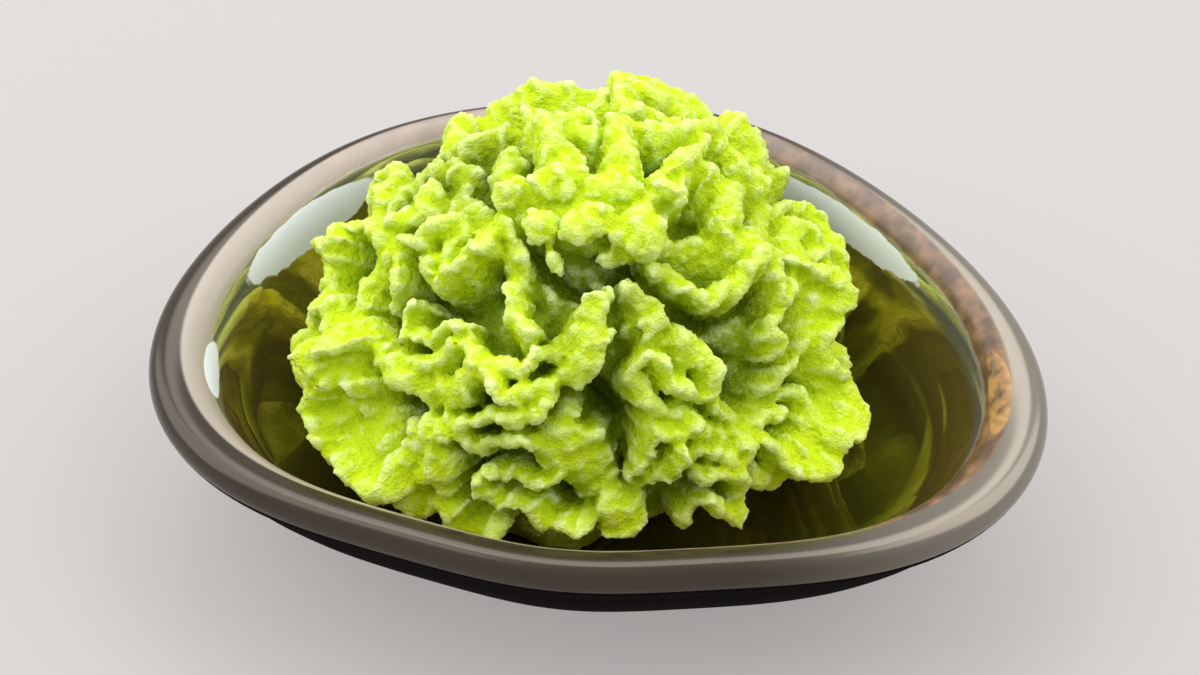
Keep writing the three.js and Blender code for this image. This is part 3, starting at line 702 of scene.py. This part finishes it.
def backPath(fin, seed):
    # the same for a fin that runs down the back, swinging to and fro past its calm stretch
    azimuth = math.radians(fin["azimuth"])
    lowest = dish["innerWall"][-1][1] + paste["backEnds"]
    walk = paste["walk"]
    nudge = paste["nudge"]
    down = fin["start"] / dome["mmPerRadian"]
    sideways = phase = run = 0
    path = []
    while run < fin["length"]:
        here = onDome(azimuth, down)
        if here.z < lowest:
            break
        mmDown = (onDome(azimuth, down + nudge) - here).length / nudge
        mmAcross = (onDome(azimuth + nudge, down) - here).length / nudge
        if run > fin["calm"]:
            phase += 2 * math.pi * walk / (fin["wave"] * (1 + unsteady("wave", run, seed)))
        swing = fin["swing"] * smooth(*fin["swingFrom"], run - fin["calm"])
        swing *= 1 + unsteady("swing", run, seed)
        heading = unsteady("heading", run, seed) - swing * math.sin(phase)
        sideways += math.sin(heading) * walk
        down += math.cos(heading) * walk / mmDown
        run += walk
        path.append((azimuth + sideways / max(mmAcross, paste["leastAcross"]), down, run))
    return path


def finRing(fin, seed, path, i):
    # the ring of points round the fin at one step of its path
    azimuth, down, run = path[i]
    begun = (run + paste["walk"]) / fin["taper"]
    left = (len(path) - i) * paste["walk"] / paste["endTaper"]
    taper = math.sqrt(min(1, begun, left))
    share = crestShare(fin, down) - paste["endSinks"] * (1 - taper)
    crest = onDome(azimuth, down, share,
                   unsteady("crest", run, seed) + unsteady("crestFine", run, seed))
    root = onDome(azimuth, down - dome["droop"] * smooth(*dome["droopPolar"], down),
                  shareOf("root", down))
    before = path[max(i - 1, 0)]
    after = path[min(i + 1, len(path) - 1)]
    aside = (crest - root).cross(onDome(*after[:2]) - onDome(*before[:2])).normalized()
    low, high = paste["shoulderPast"]
    shoulder = 1 + (fin["shoulder"] * smooth(*paste["shoulderFrom"], run)
                    * (1 - smooth(fin["calm"] + low, fin["calm"] + high, run)))
    half = paste["section"]
    ring = []
    for rise, width in half + [paste["tip"]] + [(rise, -width) for rise, width in reversed(half)]:
        uneven = 1 + unsteady("thickness", run, seed, rise)
        out = fin["thickness"] / 2 * width * taper * shoulder * uneven
        bend = unsteady("bend", run, seed, rise) * max(rise, 0)
        bend += unsteady("ruffle", run, seed) * smooth(*paste["ruffledFrom"], rise)
        ring.append(settled(root.lerp(crest, rise) + aside * (out + bend)))
    return ring


def addFin(bm, fin, seed, path):
    # a grid rolled into a tube along the fin's path, and closed at both ends
    rings = [finRing(fin, seed, path, i) for i in range(len(path))]
    around = len(rings[0])
    steps = len(rings) - 1
    grid = bmesh.ops.create_grid(bm, x_segments=steps, y_segments=around, size=1)["verts"]
    for vert in grid:
        i = round((vert.co.x + 1) / 2 * steps)
        j = round((vert.co.y + 1) / 2 * around)
        vert.co = rings[i][j % around]
    bmesh.ops.remove_doubles(bm, verts=grid, dist=sameSpot)
    ends = [edge for edge in bm.edges if edge.is_boundary]
    bmesh.ops.holes_fill(bm, edges=ends, sides=0)


def addFins(bm):
    # a fin's number gives it its seed, so new fins go to the end of lateFins
    fins = [{**paste["usual"][group], **fin}
            for group in ("front", "back", "late") for fin in paste[group + "Fins"]]
    for number, fin in enumerate(fins):
        seed = number * paste["seedStep"]
        path = frontPath(fin) if "route" in fin else backPath(fin, seed)
        addFin(bm, fin, seed, path)
    print("fins:", len(fins))


def coreShare(direction, crests, starts):
    # the core's share of the dome, dented between the fins where the looker sees it; crests are
    # the places of all the dents' routes, and starts says where each route begins
    share = shareOf("core", math.acos(min(max(direction.dot(pole), -1), 1)))
    if direction.dot(towardsEye) > 0:
        out = direction * domeRadius(direction) * paste["dentsSeenAt"]
        distances = np.hypot(*(crests - asSeen(settled(dome["middle"] + out))).T)
        nearest = np.minimum.reduceat(distances, starts)
        for (rise, width, route), distance in zip(paste["dents"], nearest):
            share += rise * (1 - smooth(0, width, distance))
    return min(share, paste["fullest"])


def addCore(bm):
    routes = [evenly(route, paste["dentWalk"]) for rise, width, route in paste["dents"]]
    crests = np.concatenate(routes)
    starts = np.cumsum([0] + [len(route) for route in routes[:-1]])
    around, updown = paste["coreSides"]
    ball = bmesh.ops.create_uvsphere(bm, u_segments=around, v_segments=updown, radius=1)
    for vert in ball["verts"]:
        direction = vert.co.normalized()
        place = direction * domeRadius(direction) * coreShare(direction, crests, starts)
        place *= 1 - paste["coreNarrows"] * smooth(*paste["narrowsFrom"], place.z)
        if place.z < 0:
            place.z *= paste["baseStretch"]
        vert.co = settled(place + dome["middle"])


def toPole(at):
    turn = Matrix((east, north, pole)).transposed().to_4x4()
    top = Matrix.Translation(settled(onDome(0, 0, paste["lumpsAt"])))
    return top @ turn @ Matrix.Translation(at)


def lumpPlaces(rng):
    # each lump is torn into a cluster of uneven bits
    bits = paste["lumpBits"]
    places = []
    for middle, half, degrees, whole in paste["lumps"]:
        turned = toPole(middle) @ Matrix.Rotation(math.radians(degrees), 4, "Z")
        half = Vector(half)
        places.append(turned @ Matrix.Diagonal((*half * whole, 1)))
        for n in range(bits["count"]):
            away = Vector([rng.gauss(0, 1) for axis in range(3)]).normalized() * bits["out"]
            at = Vector([away[axis] * half[axis] for axis in range(3)])
            size = min(half) * rng.uniform(*bits["size"])
            angle = rng.uniform(0, math.pi)
            turn = Matrix.Rotation(angle, 4, Vector([rng.random() for axis in range(3)]))
            stretch = Matrix.Diagonal((
                size * rng.uniform(*bits["length"]), size * rng.uniform(*bits["breadth"]), size, 1))
            places.append(turned @ Matrix.Translation(at) @ turn @ stretch)
    return places


def tornPlaces(rng):
    bits = paste["tornBits"]
    places = []
    for n in range(bits["count"]):
        angle = rng.uniform(0, 2 * math.pi)
        away = bits["within"] * rng.random() ** bits["crowding"]
        at = (away * math.cos(angle) * bits["spread"][0] + bits["middle"][0],
              away * math.sin(angle) * bits["spread"][1] + bits["middle"][1],
              rng.uniform(*bits["height"]) - bits["sinks"] * away * away)
        turn = (Matrix.Rotation(rng.uniform(0, math.pi), 4, "Z")
                @ Matrix.Rotation(rng.uniform(*bits["tilt"]), 4, "X"))
        half = [rng.uniform(*ends) for ends in bits["half"]]
        places.append(toPole(at) @ turn @ Matrix.Diagonal((*half, 1)))
    return places


def addBits(bm, places):
    template = bmesh.new()
    bmesh.ops.create_icosphere(template, subdivisions=1, radius=1)
    bit = meshOf(template, "bit")
    for place in places:
        bit.transform(place)
        bm.from_mesh(bit)
        bit.transform(place.inverted())
    bpy.data.meshes.remove(bit)


def roughPaste():
    rng = random.Random(paste["randomSeed"])
    bm = bmesh.new()
    addFins(bm)
    bits = lumpPlaces(rng) + tornPlaces(rng)
    bmesh.ops.recalc_face_normals(bm, faces=bm.faces)
    addCore(bm)
    addBits(bm, bits)
    print("rough paste:", len(bm.faces), "faces,", len(bits), "bits")
    return newPiece("wasabiPaste", meshOf(bm, "roughPaste"))


def applied(piece):
    # the piece with its modifiers made part of its mesh
    evaluated = piece.evaluated_get(bpy.context.evaluated_depsgraph_get())
    mesh = bpy.data.meshes.new_from_object(evaluated)
    piece.modifiers.clear()
    piece.data = mesh


def addGrain(piece, name):
    grain = paste[name]
    texture = bpy.data.textures.new(name, grain["kind"])
    texture.noise_scale = grain["size"]
    displace = piece.modifiers.new(name, "DISPLACE")
    displace.texture = texture
    displace.strength = grain["depth"]
    displace.mid_level = 0.5
    displace.texture_coords = "LOCAL"
    return displace


def withoutScraps(mesh):
    # loose crumbs and closed pockets are dropped, so that the paste is one body
    bm = bmesh.new()
    bm.from_mesh(mesh)
    unseen = set(bm.verts)
    islands = []
    while unseen:
        island = [unseen.pop()]
        for vert in island:
            found = unseen.intersection(edge.other_vert(vert) for edge in vert.link_edges)
            unseen -= found
            island.extend(found)
        islands.append(island)
    islands.sort(key=len)
    scraps = [vert for island in islands[:-1] for vert in island]
    bmesh.ops.delete(bm, geom=scraps, context="VERTS")
    bm.to_mesh(mesh)
    bm.free()
    print("scraps dropped:", len(islands) - 1)


def placesOf(mesh):
    places = np.empty(len(mesh.vertices) * 3)
    mesh.vertices.foreach_get("co", places)
    return places.reshape(-1, 3)


def keptInDish(mesh):
    # whatever would reach the glaze is pressed back: in at the wall, and in or up, whichever is
    # nearer, in the well
    places = placesOf(mesh)
    rim = rimRadius(np.arctan2(places[:, 1], places[:, 0]))
    radius = np.hypot(places[:, 0], places[:, 1])
    gap = paste["clearance"]
    wall = dish["innerWall"][dish["holdsFrom"]:]
    shares, heights = np.array(wall[::-1]).T
    lowest = np.interp((radius + gap) / rim, shares, heights + gap)
    widest = np.interp(places[:, 2], heights + gap, shares) * rim - gap
    short = np.maximum(lowest - places[:, 2], 0)
    wide = np.maximum(radius - widest, 0)
    atWall = places[:, 2] > paste["wellDepth"]
    inwards = (wide > 0) & (atWall | (wide < short) & (widest > 0))
    upwards = (short > 0) & ~inwards
    scale = np.where(inwards, widest / np.maximum(radius, sameSpot), 1)
    places[:, 0] *= scale
    places[:, 1] *= scale
    places[:, 2] += np.where(upwards, short, 0)
    mesh.vertices.foreach_set("co", places.ravel())
    mesh.update()


def heightOf(mesh):
    # share of the dome at which each vertex lies, for the painted shade deep between the folds
    x, y, z = placesOf(mesh).T
    out = np.array([x, y, z])
    for axis, size, pace, start in paste["drifts"]:
        out[axis] -= size * np.sin(pace[0] * x + pace[1] * y + pace[2] * z + start)
    out -= np.array(dome["middle"])[:, None]
    half = np.array([np.full_like(x, dome["wide"]), np.full_like(x, dome["deep"]),
                     np.where(out[2] > 0, dome["up"], dome["down"])])
    shares = (np.abs(out / half) ** dome["power"]).sum(axis=0) ** (1 / dome["power"])
    mesh.attributes.new("height", "FLOAT", "POINT").data.foreach_set("value", shares)


def makePaste():
    piece = roughPaste()
    fuse = piece.modifiers.new("fuse", "REMESH")
    fuse.mode = "VOXEL"
    fuse.voxel_size = paste["voxel"]
    soften = piece.modifiers.new("soften", "SMOOTH")
    soften.factor, soften.iterations = paste["soften"]
    applied(piece)
    top = piece.vertex_groups.new(name="top")
    for vert in piece.data.vertices:
        top.add([vert.index], smooth(*paste["raggedFrom"], vert.co.z), "REPLACE")
    for name in ("lumpy", "torn", "grains"):
        addGrain(piece, name)
    addGrain(piece, "ragged").vertex_group = "top"
    applied(piece)
    triangles = 2 * len(piece.data.polygons)
    print("fused paste:", triangles, "triangles")
    thin = piece.modifiers.new("thin", "DECIMATE")
    thin.ratio = min(paste["triangles"] / triangles, 1)
    applied(piece)
    withoutScraps(piece.data)
    keptInDish(piece.data)
    heightOf(piece.data)
    piece.data.transform(toFrame)
    shaded(piece)
    print("paste:", len(piece.data.polygons), "faces")
    return piece


def pasteMaterial():
    # grated wasabi rhizome: moist, a little see-through, with a coarse grain of about half a mm
    look = {
        "fresh": "#D3EB1A", "deep": "#BBD700", "paleSkinAndHighlight": "#F0FCC0", "creaseShade": "#647A00",
        "grain": 0.55, "patch": 4.0, "scratch": 0.3,      # mm
        "scratchStretch": (1, 1, 0.22),
        "crest": (0.505, 0.63),     # pointiness where the pale crests, partly a painted highlight, start and end
        "shadedValley": (0.99, 0.79),     # height at which the painted crease shade starts and ends
        "crestHighlightPaints": 0.8, "valleyShadePainted": 0.9,
    }
    material, tree = newMaterial("gratedWasabiPaste")
    place = addNode(tree, "TexCoord").outputs["Object"]
    patches = addNode(tree, "TexNoise", None, {
        "Vector": place, "Scale": 1 / (look["patch"] * mm), "Detail": 3, "Roughness": 0.6})
    grains = addNode(tree, "TexNoise", None, {
        "Vector": place, "Scale": 1 / (look["grain"] * mm), "Detail": 3, "Roughness": 0.65})
    flat = addNode(tree, "Mapping", None, {
        "Vector": place, "Scale": look["scratchStretch"]})
    scratches = addNode(tree, "TexNoise", None, {
        "Vector": flat.outputs["Vector"], "Scale": 1 / (look["scratch"] * mm), "Detail": 1})
    patchy = addNode(tree, "Mix", inColour, {
        0: patches.outputs["Fac"], 6: linear(look["deep"]), 7: linear(look["fresh"])})
    pointed = addNode(tree, "NewGeometry").outputs["Pointiness"]
    crests = addNode(tree, "MapRange", None, {
        "Value": pointed, "From Min": look["crest"][0], "From Max": look["crest"][1],
        "To Max": look["crestHighlightPaints"]})
    # painted shade: the paste is darkened deep between the folds, where shade falls
    height = addNode(tree, "Attribute", {"attribute_name": "height"}).outputs["Fac"]
    paintedValleyShade = addNode(tree, "MapRange", eased, {
        "Value": height, "From Min": look["shadedValley"][0], "From Max": look["shadedValley"][1],
        "To Max": look["valleyShadePainted"]})
    withPaintedShade = addNode(tree, "Mix", inColour, {
        0: paintedValleyShade.outputs["Result"], 6: patchy.outputs[2], 7: linear(look["creaseShade"])})
    # the crests painted pale: partly the paste's drier, paler skin and partly a painted highlight
    colour = addNode(tree, "Mix", inColour, {
        0: crests.outputs["Result"], 6: withPaintedShade.outputs[2], 7: linear(look["paleSkinAndHighlight"])})
    scratched = addNode(tree, "Bump", None, {
        "Height": scratches.outputs["Fac"], "Strength": 0.15, "Distance": 0.2 * mm})
    rough = addNode(tree, "Bump", None, {
        "Height": grains.outputs["Fac"], "Strength": 0.9, "Distance": 0.6 * mm,
        "Normal": scratched.outputs["Normal"]})
    shader = addNode(tree, "BsdfPrincipled", None, {
        "Base Color": colour.outputs[2], "Roughness": 0.4, "IOR": 1.4,
        "Specular IOR Level": 0.25, "Subsurface Weight": 0.2,
        "Subsurface Radius": (1.2, 1, 0.1), "Subsurface Scale": mm,
        "Normal": rough.outputs["Normal"]})
    addNode(tree, "OutputMaterial", None, {"Surface": shader.outputs["BSDF"]})
    return material


floorBoard = {"halfSide": 2, "board": "#82807E", "lit": "#FFF9F7", "glow": 0.33}     # metres


def floorMaterial():
    # a matt acrylic board, evenly lit from behind
    material, tree = newMaterial("backlitAcrylicBoard")
    shader = addNode(tree, "BsdfPrincipled", None, {
        "Base Color": linear(floorBoard["board"]), "Roughness": 0.8,
        "Emission Color": linear(floorBoard["lit"]), "Emission Strength": floorBoard["glow"]})
    addNode(tree, "OutputMaterial", None, {"Surface": shader.outputs["BSDF"]})
    return material


def makeFloor():
    bm = bmesh.new()
    bmesh.ops.create_grid(bm, x_segments=1, y_segments=1, size=floorBoard["halfSide"])
    floor = newPiece("floor", meshOf(bm, "floor"))
    floor.data.materials.append(floorMaterial())


# softboxes and an even pale room, in metres and watts
studio = {
    "softboxes": [
        {"name": "leftSoftbox", "at": (-0.34, 0.08, 0.42), "size": 0.6, "power": 2.5},
        {"name": "rightSoftbox", "at": (0.34, 0.06, 0.42), "size": 0.5, "power": 1.8},
        {"name": "topSoftbox", "at": (0, 0.3, 0.5), "size": 0.3, "power": 1.0},
    ],
    "towards": (0, 0, 0.02),
    "room": "#F0F1F4",
    "roomStrength": 0.75,
}


def lightScene():
    for softbox in studio["softboxes"]:
        lamp = bpy.data.lights.new(softbox["name"], "AREA")
        lamp.size = softbox["size"]
        lamp.energy = softbox["power"]
        stand = newPiece(softbox["name"], lamp)
        stand.location = softbox["at"]
        away = Vector(studio["towards"]) - stand.location
        stand.rotation_euler = away.to_track_quat("-Z", "Y").to_euler()
    room = bpy.data.worlds.new("studio")
    room.use_nodes = True
    background = room.node_tree.nodes["Background"]
    background.inputs["Color"].default_value = linear(studio["room"])
    background.inputs["Strength"].default_value = studio["roomStrength"]
    scene.world = room
    scene.view_settings.view_transform = "Standard"


placeCamera()
makeFloor()
lightScene()
print("stage: camera, floor and", len(studio["softboxes"]), "softboxes")

glazedDish = makeDish()
glazedDish.data.materials.append(glazeMaterial())
glazedDish.data.materials.append(shadePaintedBareMaterial())
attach(glazedDish, "root")
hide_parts("dish")
print("dish:", len(glazedDish.data.polygons), "faces")

wasabiPaste = makePaste()
wasabiPaste.data.materials.append(pasteMaterial())
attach(wasabiPaste, "root")
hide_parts("paste")
